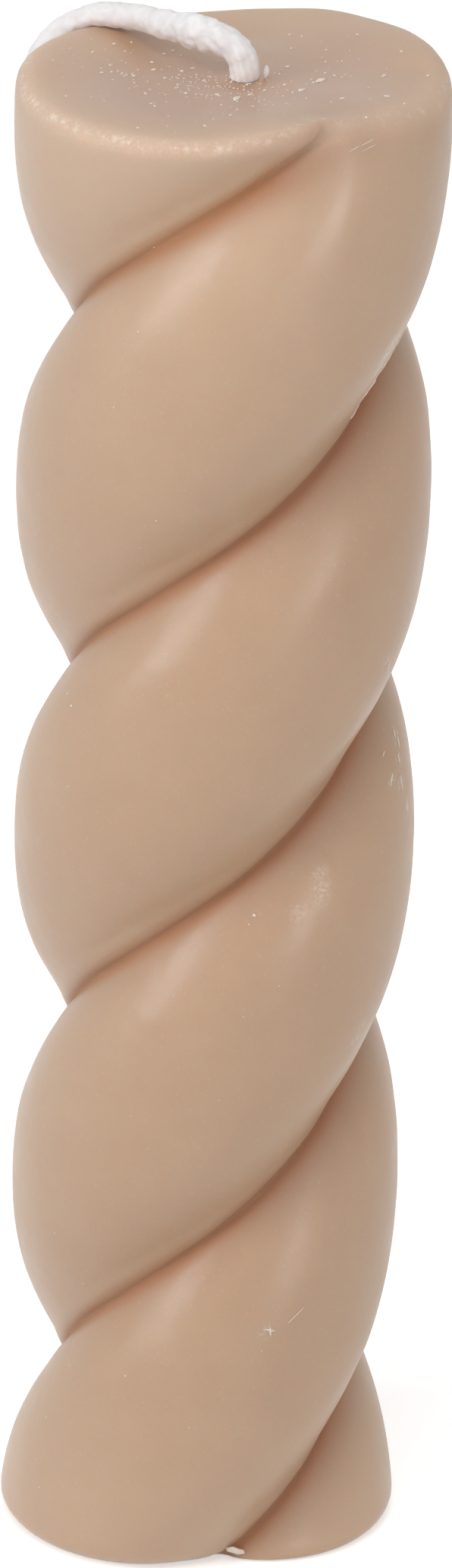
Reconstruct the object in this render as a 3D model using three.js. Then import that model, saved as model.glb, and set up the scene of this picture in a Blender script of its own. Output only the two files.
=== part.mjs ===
// A twisted pillar candle: one casting of pale brown wax with two lobes, and a braided cotton wick.
// Millimetres and degrees. +Z is up, the floor is z = 0, and the middle of the base is the origin.
// The candle is drawn as it stands, seen from the front along +Y, with +X to the right.

import * as THREE from "three";

// The section: two overlapping ellipses, one for each lobe, on either side of the axis.
const lobeRadial = 13.3; // half the size of one lobe along the line through both lobes
const lobeTangential = 15.1; // half the size of one lobe across that line
const lobeOffset = 6; // from the axis to the middle of each lobe

// The casting, floor to rim.
const bodyHeight = 150;
const twistPitch = 72.3; // height in which the section turns once, right-handed
const topLobeAngle = 33.2; // direction of one lobe at the rim, counted from +X
const mouldTaper = 0.056; // the rim is wider than the middle by this share, and the base narrower
const rimFlare = 0.03; // extra share of width gained towards the rim
const baseFlare = 0.065; // extra share of width gained towards the floor
const flareReach = 30; // how far from each end its flare starts
const rimRounding = 1.5; // radius of the top edge
const baseRounding = 2; // radius of the bottom edge
const dishDepth = 0.8; // how far the middle of the top face lies below the rim

// The wick and the hole that it runs through.
const wickDiameter = 2.8;
const wickClearance = 0.3; // gap round the wick, at its foot and between its two stretches
const wickX = 0.9; // the wick stands a little off the axis
const wickY = 0;

// How finely the faces are cut.
const stepsPerLobe = 26;
const stepsUpTheSide = 72;
const stepsPerRounding = 4;
const stepsAcrossTheDish = 5;
const wickSides = 24;
const freeWickSides = 8;
const freeWickSteps = 26;

// The free end of the wick, chosen point by point: up out of the wax, over to the rear left rim, and down
// behind it, where its tip hangs beside the lobe. Its first point is set by the top face.
const freeWickRoute = [
  [0.9, 0, 150.4],
  [0.6, 0.1, 151.6],
  [-0.3, 0.45, 152.6],
  [-1.6, 1, 153.05],
  [-3.2, 1.9, 153.1],
  [-4.9, 3.3, 152.95],
  [-6.6, 5, 152.7],
  [-8.2, 6.8, 152.4],
  [-9.7, 8.3, 152.1],
  [-11.1, 9.4, 151.9],
  [-12.4, 10.2, 151.7],
  [-13.6, 10.95, 151.3],
  [-14.7, 11.7, 150.5],
  [-15.7, 12.3, 149.4],
  [-16.5, 12.6, 148.1],
  [-17.2, 12.7, 146.7],
  [-17.8, 12.6, 145.2],
  [-18.2, 12.4, 143.7],
  [-18.5, 12.1, 142.2],
  [-18.7, 11.8, 140.7],
];

const pointsAround = 2 * stepsPerLobe;
const boreRadius = wickDiameter / 2 + wickClearance;
const wickExitHeight = bodyHeight - dishDepth;

const waxMaterial = new THREE.MeshStandardMaterial({ color: 0xbea084, roughness: 0.45, metalness: 0 });
const cottonMaterial = new THREE.MeshStandardMaterial({ color: 0xece8e4, roughness: 0.9, metalness: 0 });

// Direction of the first lobe at a height, in radians.
function lobeDirection(z) {
  return THREE.MathUtils.degToRad(topLobeAngle + (360 * (z - bodyHeight)) / twistPitch);
}

// Width of the section at a height, as a share of the drawn section.
function widthShare(z) {
  const taper = 1 + mouldTaper * ((2 * z) / bodyHeight - 1);
  const nearRim = THREE.MathUtils.clamp((z - bodyHeight) / flareReach + 1, 0, 1);
  const nearBase = THREE.MathUtils.clamp(1 - z / flareReach, 0, 1);
  return taper * (1 + rimFlare * nearRim ** 2 + baseFlare * nearBase ** 2);
}

// The section's outline, from one crease round both lobes and back, with the first lobe along +X.
function drawSection() {
  const creaseTurn = Math.acos(-lobeOffset / lobeRadial); // where the two ellipses cross
  const outline = [];
  for (const side of [1, -1]) {
    for (let i = 0; i < stepsPerLobe; i++) {
      const turn = creaseTurn * ((2 * i) / stepsPerLobe - 1);
      const along = lobeOffset + lobeRadial * Math.cos(turn);
      const across = lobeTangential * Math.sin(turn);
      outline.push(new THREE.Vector2(side * along, side * across));
    }
  }
  return outline;
}

const section = drawSection();

// The section at a height, turned and widened as the casting is there, and drawn in by an inset.
function sideRing(z, inset) {
  return section.map((corner) => {
    const p = corner.clone().multiplyScalar(widthShare(z));
    p.setLength(p.length() - inset);
    p.rotateAround(new THREE.Vector2(), lobeDirection(z));
    return new THREE.Vector3(p.x, p.y, z);
  });
}

// A ring of the wick's hole, with its corners in step with those of the section at the same height.
function boreRing(z) {
  const firstCrease = lobeDirection(z) - Math.PI / 2;
  const ring = [];
  for (let i = 0; i < pointsAround; i++) {
    const turn = firstCrease + (2 * Math.PI * i) / pointsAround;
    ring.push(new THREE.Vector3(wickX + boreRadius * Math.cos(turn), wickY + boreRadius * Math.sin(turn), z));
  }
  return ring;
}

// Rings from the wick's hole over the base, up the side, round the rim and across the dish to the hole.
function bodyRings() {
  const rings = [boreRing(0)];
  for (let i = 0; i < stepsPerRounding; i++) {
    const a = ((Math.PI / 2) * i) / stepsPerRounding;
    rings.push(sideRing(baseRounding * (1 - Math.cos(a)), baseRounding * (1 - Math.sin(a))));
  }
  const sideHeight = bodyHeight - rimRounding - baseRounding;
  for (let i = 0; i < stepsUpTheSide; i++) {
    rings.push(sideRing(baseRounding + (sideHeight * i) / stepsUpTheSide, 0));
  }
  for (let i = 0; i <= stepsPerRounding; i++) {
    const a = ((Math.PI / 2) * i) / stepsPerRounding;
    rings.push(sideRing(bodyHeight - rimRounding * (1 - Math.sin(a)), rimRounding * (1 - Math.cos(a))));
  }
  const rim = sideRing(bodyHeight, rimRounding);
  const mouth = boreRing(wickExitHeight);
  for (let i = stepsAcrossTheDish - 1; i > 0; i--) {
    const share = i / stepsAcrossTheDish;
    rings.push(
      mouth.map((inner, k) => {
        const p = inner.clone().lerp(rim[k], share);
        p.z = bodyHeight - dishDepth * (1 - share ** 2);
        return p;
      }),
    );
  }
  rings.push(mouth);
  return rings;
}

// The wax: rings joined into one closed skin, with the wick's hole joining the last ring to the first.
function makeWaxBody() {
  const rings = bodyRings();
  const geometry = new THREE.BufferGeometry().setFromPoints(rings.flat());
  const faces = [];
  const joinRings = (lower, upper, shift) => {
    for (let k = 0; k < pointsAround; k++) {
      const a = lower * pointsAround + ((k + shift) % pointsAround);
      const b = lower * pointsAround + ((k + 1 + shift) % pointsAround);
      const c = upper * pointsAround + k;
      const d = upper * pointsAround + ((k + 1) % pointsAround);
      faces.push(a, b, c, b, d, c);
    }
  };
  for (let i = 0; i + 1 < rings.length; i++) {
    joinRings(i, i + 1, 0);
  }
  // The twist leaves the hole's two ends out of step by whole corners, which the last join makes up for.
  const turned = (lobeDirection(0) - lobeDirection(wickExitHeight)) / ((2 * Math.PI) / pointsAround);
  const cornersTurned = ((Math.round(turned) % pointsAround) + pointsAround) % pointsAround;
  joinRings(rings.length - 1, 0, cornersTurned);
  geometry.setIndex(faces);
  geometry.computeVertexNormals();
  const mesh = new THREE.Mesh(geometry, waxMaterial);
  mesh.name = "wax_body";
  return mesh;
}

// The stretch of wick inside the wax, from just above the floor to flush with the top face.
function makeWickCore() {
  const length = wickExitHeight - wickClearance;
  const geometry = new THREE.CylinderGeometry(wickDiameter / 2, wickDiameter / 2, length, wickSides);
  const mesh = new THREE.Mesh(geometry, cottonMaterial);
  mesh.rotation.x = Math.PI / 2;
  mesh.position.set(wickX, wickY, wickClearance + length / 2);
  mesh.name = "wick_core";
  return mesh;
}

// The free end of the wick, a plain tube along its route.
function makeFreeWick() {
  const start = new THREE.Vector3(wickX, wickY, wickExitHeight + wickClearance);
  const points = [start, ...freeWickRoute.map((p) => new THREE.Vector3(...p))];
  const route = new THREE.CatmullRomCurve3(points, false, "centripetal");
  const outline = new THREE.Shape();
  for (let i = 0; i < freeWickSides; i++) {
    const turn = (2 * Math.PI * (i + 0.5)) / freeWickSides;
    const x = (wickDiameter / 2) * Math.cos(turn);
    const y = (wickDiameter / 2) * Math.sin(turn);
    if (i === 0) {
      outline.moveTo(x, y);
    } else {
      outline.lineTo(x, y);
    }
  }
  const geometry = new THREE.ExtrudeGeometry(outline, { steps: freeWickSteps, extrudePath: route });
  const mesh = new THREE.Mesh(geometry, cottonMaterial);
  mesh.name = "wick_free_end";
  return mesh;
}

const candle = new THREE.Group();
candle.name = "twisted_candle";
candle.add(makeWaxBody(), makeWickCore(), makeFreeWick());

export default candle;
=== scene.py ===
"""The looks of a twisted pillar candle: its satin wax casting, the braided wick, and what casting and handling
left on them. Lengths are in metres and +Z is up. The candle stands on z = 0, and the camera looks along +Y."""

import math
import random

import bpy
import numpy as np
from mathutils import Matrix, Vector, noise
from mathutils.bvhtree import BVHTree


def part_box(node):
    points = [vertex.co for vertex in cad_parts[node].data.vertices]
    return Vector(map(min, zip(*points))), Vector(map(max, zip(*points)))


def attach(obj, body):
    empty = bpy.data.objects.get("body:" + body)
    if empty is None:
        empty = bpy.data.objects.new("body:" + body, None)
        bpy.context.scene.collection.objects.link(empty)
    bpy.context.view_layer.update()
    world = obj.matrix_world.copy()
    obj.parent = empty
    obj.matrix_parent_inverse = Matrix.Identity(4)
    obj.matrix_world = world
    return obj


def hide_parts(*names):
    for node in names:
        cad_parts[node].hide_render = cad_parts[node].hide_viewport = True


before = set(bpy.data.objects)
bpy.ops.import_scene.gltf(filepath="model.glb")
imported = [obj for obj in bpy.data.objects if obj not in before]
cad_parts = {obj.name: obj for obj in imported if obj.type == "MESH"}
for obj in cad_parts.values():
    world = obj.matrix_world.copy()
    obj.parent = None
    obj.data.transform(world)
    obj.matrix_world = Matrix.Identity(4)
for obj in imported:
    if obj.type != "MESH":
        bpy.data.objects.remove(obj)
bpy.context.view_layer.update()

MM = 0.001
NEAR = 0.01 * MM  # points closer than this are taken to be in the same place

# The section of the wax, as the part's source draws it: two ellipses, one for each lobe.
LOBE_RADIAL = 13.3 * MM
LOBE_TANGENTIAL = 15.1 * MM
LOBE_OFFSET = 6 * MM
BODY_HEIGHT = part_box("wax_body")[1].z
TWIST_PITCH = 72.3 * MM
TOP_LOBE_ANGLE = math.radians(33.2)
MOULD_TAPER = 0.056
RIM_FLARE = 0.03
BASE_FLARE = 0.065
FLARE_REACH = 30 * MM
RIM_ROUNDING = 1.8 * MM
BASE_ROUNDING = 2 * MM
DISH_DEPTH = 0.8 * MM
DISH_REACH = 13 * MM
CREASE_FILLET = 0.6 * MM
FILLET_ROOM = 1.2 * CREASE_FILLET  # corners of the section nearer to a crease than this give way to its fillet
CREASE_DEEPENING = 0.2 * MM  # how much further in the crease runs than where the ellipses cross
DEEPENING_REACH = 2.5 * MM
CREASE_LEAN = 0.7 * MM  # how far the crease is shifted towards the strand below it
LEAN_REACH = 4 * MM
STRAND_SHOULDER = 0.25 * MM  # how much the strand above a crease bulges over it
SHOULDER_WIDTH = 1.2 * MM
SHOULDER_REACH = 3 * MM
CREASE_ANGLE = math.acos(-LOBE_OFFSET / LOBE_RADIAL)
CREASE_RADIUS = LOBE_TANGENTIAL * math.sin(CREASE_ANGLE) - CREASE_DEEPENING
CREASE_SHIFT = math.atan(CREASE_LEAN / CREASE_RADIUS)
# Where the rim stands higher or lower than level, and by how much, in millimetres.
RIM_UNEVENNESS = [
    ((3.5, -12.5), 0.4), ((19.3, -2), -0.45), ((17, 9.5), 0.45),
    ((2, 14.5), -0.6), ((-13, 9.5), 0.4), ((-18.5, 3), 0.6),
]
UNEVENNESS_REACH = 7 * MM
NOTCH_FILLING = 1.4 * MM  # how much shallower the creases are where they meet the rim
NOTCH_REACH = 10 * MM
# The waves in the cast wax: how long and how high each kind is.
CAST_WAVES = (("broad waves", 16 * MM, 0.3 * MM), ("small waves", 4 * MM, 0.06 * MM))

# How finely the casting is cut up.
SECTION_CORNERS = 128  # round each of the two ellipses
ROUNDING_SEGMENTS = 6
WALL_ROWS = 100
END_RINGS = 15
SHORTEST_SPOKE = 5 * MM  # edges of a flat end that run further towards the wick than this are cut into rings

# How the painted shade of the creases spreads over the wax.
CREASE_CORE = 1.1 * MM
CREASE_SIDES = 2.8 * MM
CREASE_LEAST = 0.7  # the narrowest that both of these get, as a share
CREASE_WIDER_UP = 0.8  # how much wider they are where the wax faces up
CREASE_WIDER_RIGHT = 0.8  # how much wider they are on the candle's right
NOTCH_SHADE = 12 * MM  # how far down the notches in the rim change the painted shade and light of the creases below them
NOTCH_WIDENING = 1.3
LIP_REACH = 1.2 * MM  # how wide the strip is where light shows through the edge of the wax, below a notch
LIP_LOST_BELOW = 0.7  # how much of that strip is missing on the lower strand

# Where the wax is rubbed, where it has another tone, and where light and shade are painted on it.
RIM_INSET = 0.5 * MM  # the line of rubbed wax and painted highlight on the rim runs this far in from its edge and below it
RIM_WEAR_AND_HIGHLIGHT = 1.6 * MM
RIM_LINE = 0.5 * MM
RIM_WORN_AND_LIT_WAY = Vector((-0.6, -0.8))  # the side on which the rim is rubbed most and its painted highlight is brightest
RIM_WORN_AND_LIT = 0.6  # how much it is rubbed and painted with highlight on average
RIM_WORN_AND_LIT_MORE = 0.4
PAINTED_LIGHT_WAY = Vector((-0.3, -0.95))  # the side on which painted light lightens the wax below the rim
PAINTED_LIGHT_BELOW_RIM = 20 * MM
PAINTED_LIGHT_AT_FOOT = 14 * MM
PAINTED_LIGHT_FOOT_SHARE = 0.6
# How far the wick's painted shadow reaches over the wax round it.
WICK_PAINTED_SHADOW = 2.2 * MM

# The wick. The wax meets it closely, where the CAD model keeps a gap.
WICK_DIAMETER = 2.8 * MM
WICK_FOOT = Vector((0.9 * MM, 0, BODY_HEIGHT - DISH_DEPTH))
WICK_SEAT = 0.05 * MM
WICK_HOLE = WICK_DIAMETER / 2 + WICK_SEAT
WICK_LIP = 0.3 * MM  # how far the wax climbs up round the wick's foot
WICK_LIP_REACH = 0.7 * MM
LIP_CLOSING = 0.86  # how far that lip closes in round the wick, as a share of the hole
WICK_SIDES = 72
WICK_RING_SPACING = 0.12 * MM

# The photograph's size in pixels, and how its camera sees the candle.
PHOTO_HIGH = 2066
PHOTO_WIDE = 596
CAMERA_DISTANCE = 1.5
CAMERA_ELEVATION = math.radians(24.049)
CAMERA_ROLL = math.radians(1.552)
CAMERA_TARGET = Vector((0, 0, BODY_HEIGHT / 2))
FOCAL_PIXELS = 20587
AXIS_PIXEL = (283.3, 1054.3)
SENSOR_MM = 36
PIXEL = CAMERA_DISTANCE / FOCAL_PIXELS  # what one pixel of the photograph spans at the candle
LAMP_DISTANCE = 1.2
# Where the side of the candle is rubbed pale, and where a painted highlight runs along the edge of a strand: the
# middle of each patch and its radius, in pixels.
RUBBED_AND_HIGHLIT_PATCHES = [
    (511, 870, 7), (514, 886, 7), (421, 1152, 8), (423, 1170, 8), (424, 1186, 8), (395, 1201, 9), (522, 970, 8),
    (526, 1000, 7), (529, 1032, 8), (517, 1030, 7), (537, 1062, 8), (352, 1754, 9), (518, 450, 8), (508, 470, 9),
    (499, 488, 9), (489, 505, 8), (478, 525, 7), (477, 1354, 7), (468, 1372, 7),
]


# Camera, floor and light

def camera_axes():
    """The camera's right, up and back directions in the row frame."""
    back = Vector((0, -math.cos(CAMERA_ELEVATION), math.sin(CAMERA_ELEVATION)))
    level_up = Vector((0, math.sin(CAMERA_ELEVATION), math.cos(CAMERA_ELEVATION)))
    level_right = Vector((1, 0, 0))
    turn = Matrix.Rotation(CAMERA_ROLL, 3, back)
    return turn @ level_right, turn @ level_up, back


def add_camera():
    right, up, back = camera_axes()
    lens = bpy.data.cameras.new("camera")
    lens.sensor_width = SENSOR_MM
    lens.lens = SENSOR_MM * FOCAL_PIXELS / PHOTO_HIGH
    lens.shift_x = (PHOTO_WIDE / 2 - AXIS_PIXEL[0]) / PHOTO_HIGH
    lens.shift_y = (AXIS_PIXEL[1] - PHOTO_HIGH / 2) / PHOTO_HIGH
    lens.clip_start = 0.1
    lens.clip_end = 50
    camera = bpy.data.objects.new("camera", lens)
    bpy.context.scene.collection.objects.link(camera)
    turn = Matrix((right, up, back)).transposed().to_4x4()
    camera.matrix_world = Matrix.Translation(CAMERA_TARGET + CAMERA_DISTANCE * back) @ turn
    bpy.context.scene.camera = camera


def sight_line(x, y):
    """The start and the direction of the line of sight through a pixel of the photograph."""
    right, up, back = camera_axes()
    ahead = right * (x - AXIS_PIXEL[0]) - up * (y - AXIS_PIXEL[1]) - back * FOCAL_PIXELS
    return CAMERA_TARGET + CAMERA_DISTANCE * back, ahead.normalized()


def look_at_wax(tree, x, y):
    """The place on the wax that a pixel of the photograph shows, and the direction that it faces."""
    place, normal, _, _ = tree.ray_cast(*sight_line(x, y))
    return place, normal


def add_softbox(name, azimuth, elevation, size, strength, colour=(1, 1, 1)):
    """A soft lamp that faces the candle's middle. Azimuth 0 is the camera's side, and 90 is on its right."""
    azimuth, elevation = math.radians(azimuth), math.radians(elevation)
    level = math.cos(elevation)
    direction = Vector((math.sin(azimuth) * level, -math.cos(azimuth) * level, math.sin(elevation)))
    lamp = bpy.data.lights.new(name, "AREA")
    lamp.shape = "RECTANGLE"
    lamp.size, lamp.size_y = size
    lamp.energy = strength
    lamp.color = colour
    holder = bpy.data.objects.new(name, lamp)
    bpy.context.scene.collection.objects.link(holder)
    holder.location = CAMERA_TARGET + direction * LAMP_DISTANCE
    holder.rotation_euler = (-direction).to_track_quat("-Z", "Y").to_euler()


def background_share(tree):
    """A value that is 1 where the background is seen straight, in a reflection or through something clear."""
    path = put(tree, "ShaderNodeLightPath").outputs
    mirrored = math_node(tree, "MAXIMUM", path["Is Camera Ray"], path["Is Glossy Ray"])
    return math_node(tree, "MAXIMUM", mirrored, path["Is Transmission Ray"])


def add_world():
    """A soft even light all round, which shows as white behind the candle."""
    world = bpy.data.worlds.new("studio")
    bpy.context.scene.world = world
    world.use_nodes = True
    tree = world.node_tree
    tree.nodes.clear()
    light = put(tree, "ShaderNodeBackground", Color=(1, 0.975, 0.945, 1), Strength=0.32)
    white = put(tree, "ShaderNodeBackground", Color=(1, 1, 1, 1), Strength=1)
    mix = put(tree, "ShaderNodeMixShader", Fac=background_share(tree))
    feed(tree, mix.inputs[1], light.outputs[0])
    feed(tree, mix.inputs[2], white.outputs[0])
    put(tree, "ShaderNodeOutputWorld", Surface=mix.outputs[0])


def add_floor():
    """A white floor that keeps the candle's shadow."""
    bpy.ops.object.select_all(action="DESELECT")
    bpy.ops.mesh.primitive_plane_add(size=30, location=(0, 0, 0))
    floor = bpy.context.object
    floor.name = "floor"
    paper = bpy.data.materials.new("white paper")
    paper.use_nodes = True
    tree = paper.node_tree
    tree.nodes.clear()
    matt = put(tree, "ShaderNodeBsdfDiffuse", Color=(0.85, 0.85, 0.85, 1))
    glow = put(tree, "ShaderNodeEmission", Color=(0.5, 0.5, 0.5, 1), Strength=background_share(tree))
    both = put(tree, "ShaderNodeAddShader")
    feed(tree, both.inputs[0], matt.outputs[0])
    feed(tree, both.inputs[1], glow.outputs[0])
    put(tree, "ShaderNodeOutputMaterial", Surface=both.outputs[0])
    floor.data.materials.append(paper)


# Modelling helpers

def start_piece(name, add, **size):
    """Adds a primitive as a new piece of its own."""
    bpy.ops.object.select_all(action="DESELECT")
    add(**size)
    piece = bpy.context.object
    piece.name = piece.data.name = name
    return piece


def choose(piece, kind, wanted):
    """Opens piece for editing with only those of its vertices, edges or faces chosen that wanted() is true for."""
    if bpy.context.mode != "OBJECT":
        bpy.ops.object.mode_set(mode="OBJECT")
    mesh = piece.data
    lists = {"VERT": mesh.vertices, "EDGE": mesh.edges, "FACE": mesh.polygons}
    for items in lists.values():
        items.foreach_set("select", [False] * len(items))
    for item in lists[kind]:
        item.select = wanted(item)
    bpy.context.tool_settings.mesh_select_mode = [kind == name for name in lists]
    bpy.ops.object.mode_set(mode="EDIT")
    bpy.ops.mesh.select_mode(type=kind)


def ends(piece, edge):
    """The two end points of an edge."""
    return [piece.data.vertices[i].co for i in edge.vertices]


def is_level(piece, edge, height):
    """Whether an edge lies at a height."""
    return all(abs(p.z - height) < NEAR for p in ends(piece, edge))


def pull(way, falloff, reach):
    """Moves what is chosen, and what is round it by less and less, as far as the reach."""
    bpy.ops.transform.translate(
        value=way, use_proportional_edit=True, proportional_edit_falloff=falloff, proportional_size=reach
    )


def stretch_about(middle, shares, reach):
    """Stretches what is chosen, and what is round it by less and less, as far as the reach."""
    bpy.ops.transform.resize(
        value=shares,
        center_override=middle,
        use_proportional_edit=True,
        proportional_edit_falloff="SHARP",
        proportional_size=reach,
    )


def finish_modifier(piece, modifier):
    bpy.context.view_layer.objects.active = piece
    bpy.ops.object.modifier_apply(modifier=modifier.name)


def clamp(value, low=0, high=1):
    return min(max(value, low), high)


def ramp(value, start, end):
    """A share that climbs from 0 at the start to 1 at the end."""
    return clamp((value - start) / (end - start))


def fade(distance, reach):
    """A share that is 1 at no distance and dies away over the reach."""
    return math.exp(-((distance / reach) ** 2))


def from_wick(place):
    """How far a place is from the upright line through the wick's foot."""
    return (place.xy - WICK_FOOT.xy).length


# The wax casting

def lobe_direction(z):
    return TOP_LOBE_ANGLE + 2 * math.pi * (z - BODY_HEIGHT) / TWIST_PITCH


def width_share(z):
    """Width of the section at a height, as a share of the drawn section."""
    taper = 1 + MOULD_TAPER * (2 * z / BODY_HEIGHT - 1)
    near_rim = clamp((z - BODY_HEIGHT) / FLARE_REACH + 1)
    near_base = clamp(1 - z / FLARE_REACH)
    return taper * (1 + RIM_FLARE * near_rim**2 + BASE_FLARE * near_base**2)


def draw_section():
    """The outline of both lobes on the floor: two ellipses, each cut off where they cross."""
    circle = {"vertices": SECTION_CORNERS, "radius": 1 * MM}
    section = start_piece("wax_casting", bpy.ops.mesh.primitive_circle_add, **circle)
    bpy.ops.object.mode_set(mode="EDIT")
    bpy.ops.mesh.delete(type="VERT")
    for side in (1, -1):
        middle = (side * LOBE_OFFSET, 0, 0)
        bpy.ops.mesh.select_all(action="DESELECT")
        bpy.ops.mesh.primitive_circle_add(location=middle, **circle)
        stretch = (LOBE_RADIAL / MM, LOBE_TANGENTIAL / MM, 1)
        bpy.ops.transform.resize(value=stretch, center_override=middle)
        bpy.ops.mesh.bisect(plane_co=(0, 0, 0), plane_no=(side, 0, 0), clear_inner=True)
    bpy.ops.mesh.select_all(action="SELECT")
    bpy.ops.mesh.remove_doubles(threshold=0.001 * MM)
    choose(section, "VERT", lambda v: NEAR < abs(v.co.x) < FILLET_ROOM)
    bpy.ops.mesh.dissolve_verts()
    choose(section, "VERT", lambda v: abs(v.co.x) < NEAR)
    stretch_about((0, 0, 0), (1, CREASE_RADIUS / (CREASE_RADIUS + CREASE_DEEPENING), 1), DEEPENING_REACH)
    for side in (1, -1):
        choose(section, "VERT", lambda v: abs(v.co.x) < NEAR and side * v.co.y > 0)
        pull((-side * CREASE_LEAN, 0, 0), "SHARP", LEAN_REACH)
        choose(section, "VERT", lambda v: side * v.co.y > 0 and side * v.co.x < NEAR - CREASE_LEAN)
        bpy.ops.mesh.hide(unselected=False)
        choose(section, "VERT", lambda v: side * v.co.y > 0 and not v.hide and side * v.co.x < SHOULDER_WIDTH)
        pull((0, side * STRAND_SHOULDER, 0), "SMOOTH", SHOULDER_REACH)
        bpy.ops.mesh.reveal(select=False)
    return section


def raise_column(wax):
    """Walls from the section, closed at both ends, with a small fillet along each crease and soft end edges."""
    bpy.ops.mesh.select_all(action="SELECT")
    bpy.ops.mesh.extrude_region_move(TRANSFORM_OT_translate={"value": (0, 0, BODY_HEIGHT)})
    choose(wax, "EDGE", lambda e: all(abs(p.x * math.copysign(1, p.y) + CREASE_LEAN) < NEAR for p in ends(wax, e)))
    bpy.ops.mesh.bevel(offset=CREASE_FILLET, segments=ROUNDING_SEGMENTS, affect="EDGES")
    for height, radius in ((BODY_HEIGHT, RIM_ROUNDING), (0, BASE_ROUNDING)):
        choose(wax, "EDGE", lambda e: is_level(wax, e, height))
        bpy.ops.mesh.edge_face_add()
        choose(wax, "EDGE", lambda e: is_level(wax, e, height))
        bpy.ops.mesh.bevel(offset=radius, segments=ROUNDING_SEGMENTS, affect="EDGES", clamp_overlap=False)


def cut_rows(wax):
    """Cuts the tall walls into rows, and then each of them in two, so that they are fine enough to twist."""
    def rise(edge):
        start, end = ends(wax, edge)
        return abs(start.z - end.z)

    choose(wax, "EDGE", lambda e: rise(e) > BODY_HEIGHT / 2)
    bpy.ops.mesh.subdivide(number_cuts=WALL_ROWS - 1)
    row = (BODY_HEIGHT - RIM_ROUNDING - BASE_ROUNDING) / WALL_ROWS
    choose(wax, "EDGE", lambda e: abs(rise(e) - row) < NEAR)
    bpy.ops.mesh.subdivide(number_cuts=1)


def widen_ends(wax):
    """The flare at the rim and at the foot, which dies away over its reach, and then the mould's taper."""
    foot_share = 1 - MOULD_TAPER
    choose(wax, "VERT", lambda v: True)
    bpy.ops.transform.resize(value=(foot_share, foot_share, 1), center_override=(0, 0, 0))
    for height, flare in ((BODY_HEIGHT, RIM_FLARE), (0, BASE_FLARE)):
        choose(wax, "VERT", lambda v: abs(v.co.z - height) < NEAR)
        stretch_about((0, 0, height), (1 + flare, 1 + flare, 1), FLARE_REACH)
    bpy.ops.object.mode_set(mode="OBJECT")
    taper = wax.modifiers.new("taper", "SIMPLE_DEFORM")
    taper.deform_method = "TAPER"
    taper.deform_axis = "Z"
    taper.factor = (1 + MOULD_TAPER) / foot_share - 1
    finish_modifier(wax, taper)


def twist_column(wax):
    """Turns the foot to its direction and twists the column up to the rim."""
    bpy.ops.object.mode_set(mode="OBJECT")
    twist = wax.modifiers.new("twist", "SIMPLE_DEFORM")
    twist.deform_method = "TWIST"
    twist.deform_axis = "Z"
    twist.angle = 2 * math.pi * BODY_HEIGHT / TWIST_PITCH
    finish_modifier(wax, twist)
    wax.data.transform(Matrix.Rotation(lobe_direction(0), 4, "Z"))


def soften_notches(wax):
    """Draws the creases outwards where they meet the rim, so that they notch it only a little."""
    for quarter in (-math.pi / 2, math.pi / 2):
        direction = lobe_direction(BODY_HEIGHT) + quarter + CREASE_SHIFT
        outward = Vector((math.cos(direction), math.sin(direction), 0))
        notch = outward * CREASE_RADIUS * width_share(BODY_HEIGHT) + Vector((0, 0, BODY_HEIGHT))
        choose(wax, "VERT", lambda v: (v.co - notch).length < RIM_ROUNDING + 0.6 * MM)
        pull(outward * NOTCH_FILLING, "SHARP", NOTCH_REACH)


def open_ends_for_wick(wax):
    """Draws each flat end in to the wick's hole, cuts it into rings, and joins the two ends of the hole."""
    def is_spoke(edge):
        start, end = ends(wax, edge)
        return abs(from_wick(start) - from_wick(end)) > SHORTEST_SPOKE

    for height in (0, BODY_HEIGHT):
        choose(wax, "FACE", lambda f: abs(f.center.z - height) < NEAR and len(f.vertices) > SECTION_CORNERS)
        bpy.ops.mesh.extrude_region_move()
        bpy.ops.transform.resize(value=(0.1, 0.1, 1), center_override=(0, 0, height))
        bpy.ops.transform.translate(value=(WICK_FOOT.x, WICK_FOOT.y, 0))
        bpy.ops.transform.tosphere(value=1)
        bpy.ops.mesh.delete(type="ONLY_FACE")
        bpy.ops.object.mode_set(mode="OBJECT")
        drawn = min(from_wick(v.co) for v in wax.data.vertices if abs(v.co.z - height) < NEAR)
        choose(wax, "VERT", lambda v: abs(v.co.z - height) < NEAR and from_wick(v.co) < drawn + NEAR)
        fit = WICK_HOLE / drawn
        bpy.ops.transform.resize(value=(fit, fit, 1), center_override=(WICK_FOOT.x, WICK_FOOT.y, height))
        choose(wax, "EDGE", lambda e: is_spoke(e) and is_level(wax, e, height))
        bpy.ops.mesh.subdivide(number_cuts=END_RINGS - 1)
    choose(wax, "EDGE", lambda e: all(abs(from_wick(p) - WICK_HOLE) < NEAR for p in ends(wax, e)))
    bpy.ops.mesh.bridge_edge_loops()


def sink_dish(wax):
    """Lowers the middle of the top face, as the cooling wax does, and closes a small lip of wax round the wick."""
    choose(wax, "VERT", lambda v: v.co.z < BODY_HEIGHT - NEAR)
    bpy.ops.mesh.hide(unselected=False)
    for rise, falloff, reach in ((-DISH_DEPTH, "INVERSE_SQUARE", DISH_REACH), (WICK_LIP, "SHARP", WICK_LIP_REACH)):
        bpy.ops.object.mode_set(mode="OBJECT")
        for v in wax.data.vertices:
            v.select = not v.hide and from_wick(v.co) < WICK_HOLE + NEAR
        bpy.context.tool_settings.mesh_select_mode = (True, False, False)
        bpy.ops.object.mode_set(mode="EDIT")
        pull((0, 0, rise), falloff, reach)
    bpy.ops.transform.resize(value=(LIP_CLOSING, LIP_CLOSING, 1), center_override=WICK_FOOT)
    bpy.ops.mesh.reveal(select=False)


def unlevel_rim(wax):
    """Raises and lowers stretches of the rim, which isn't quite level."""
    for (x, y), rise in RIM_UNEVENNESS:
        place = Vector((x * MM, y * MM, BODY_HEIGHT))
        choose(wax, "VERT", lambda v: (v.co - place).length < 1.5 * MM)
        pull((0, 0, rise * MM), "SMOOTH", UNEVENNESS_REACH)


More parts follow.
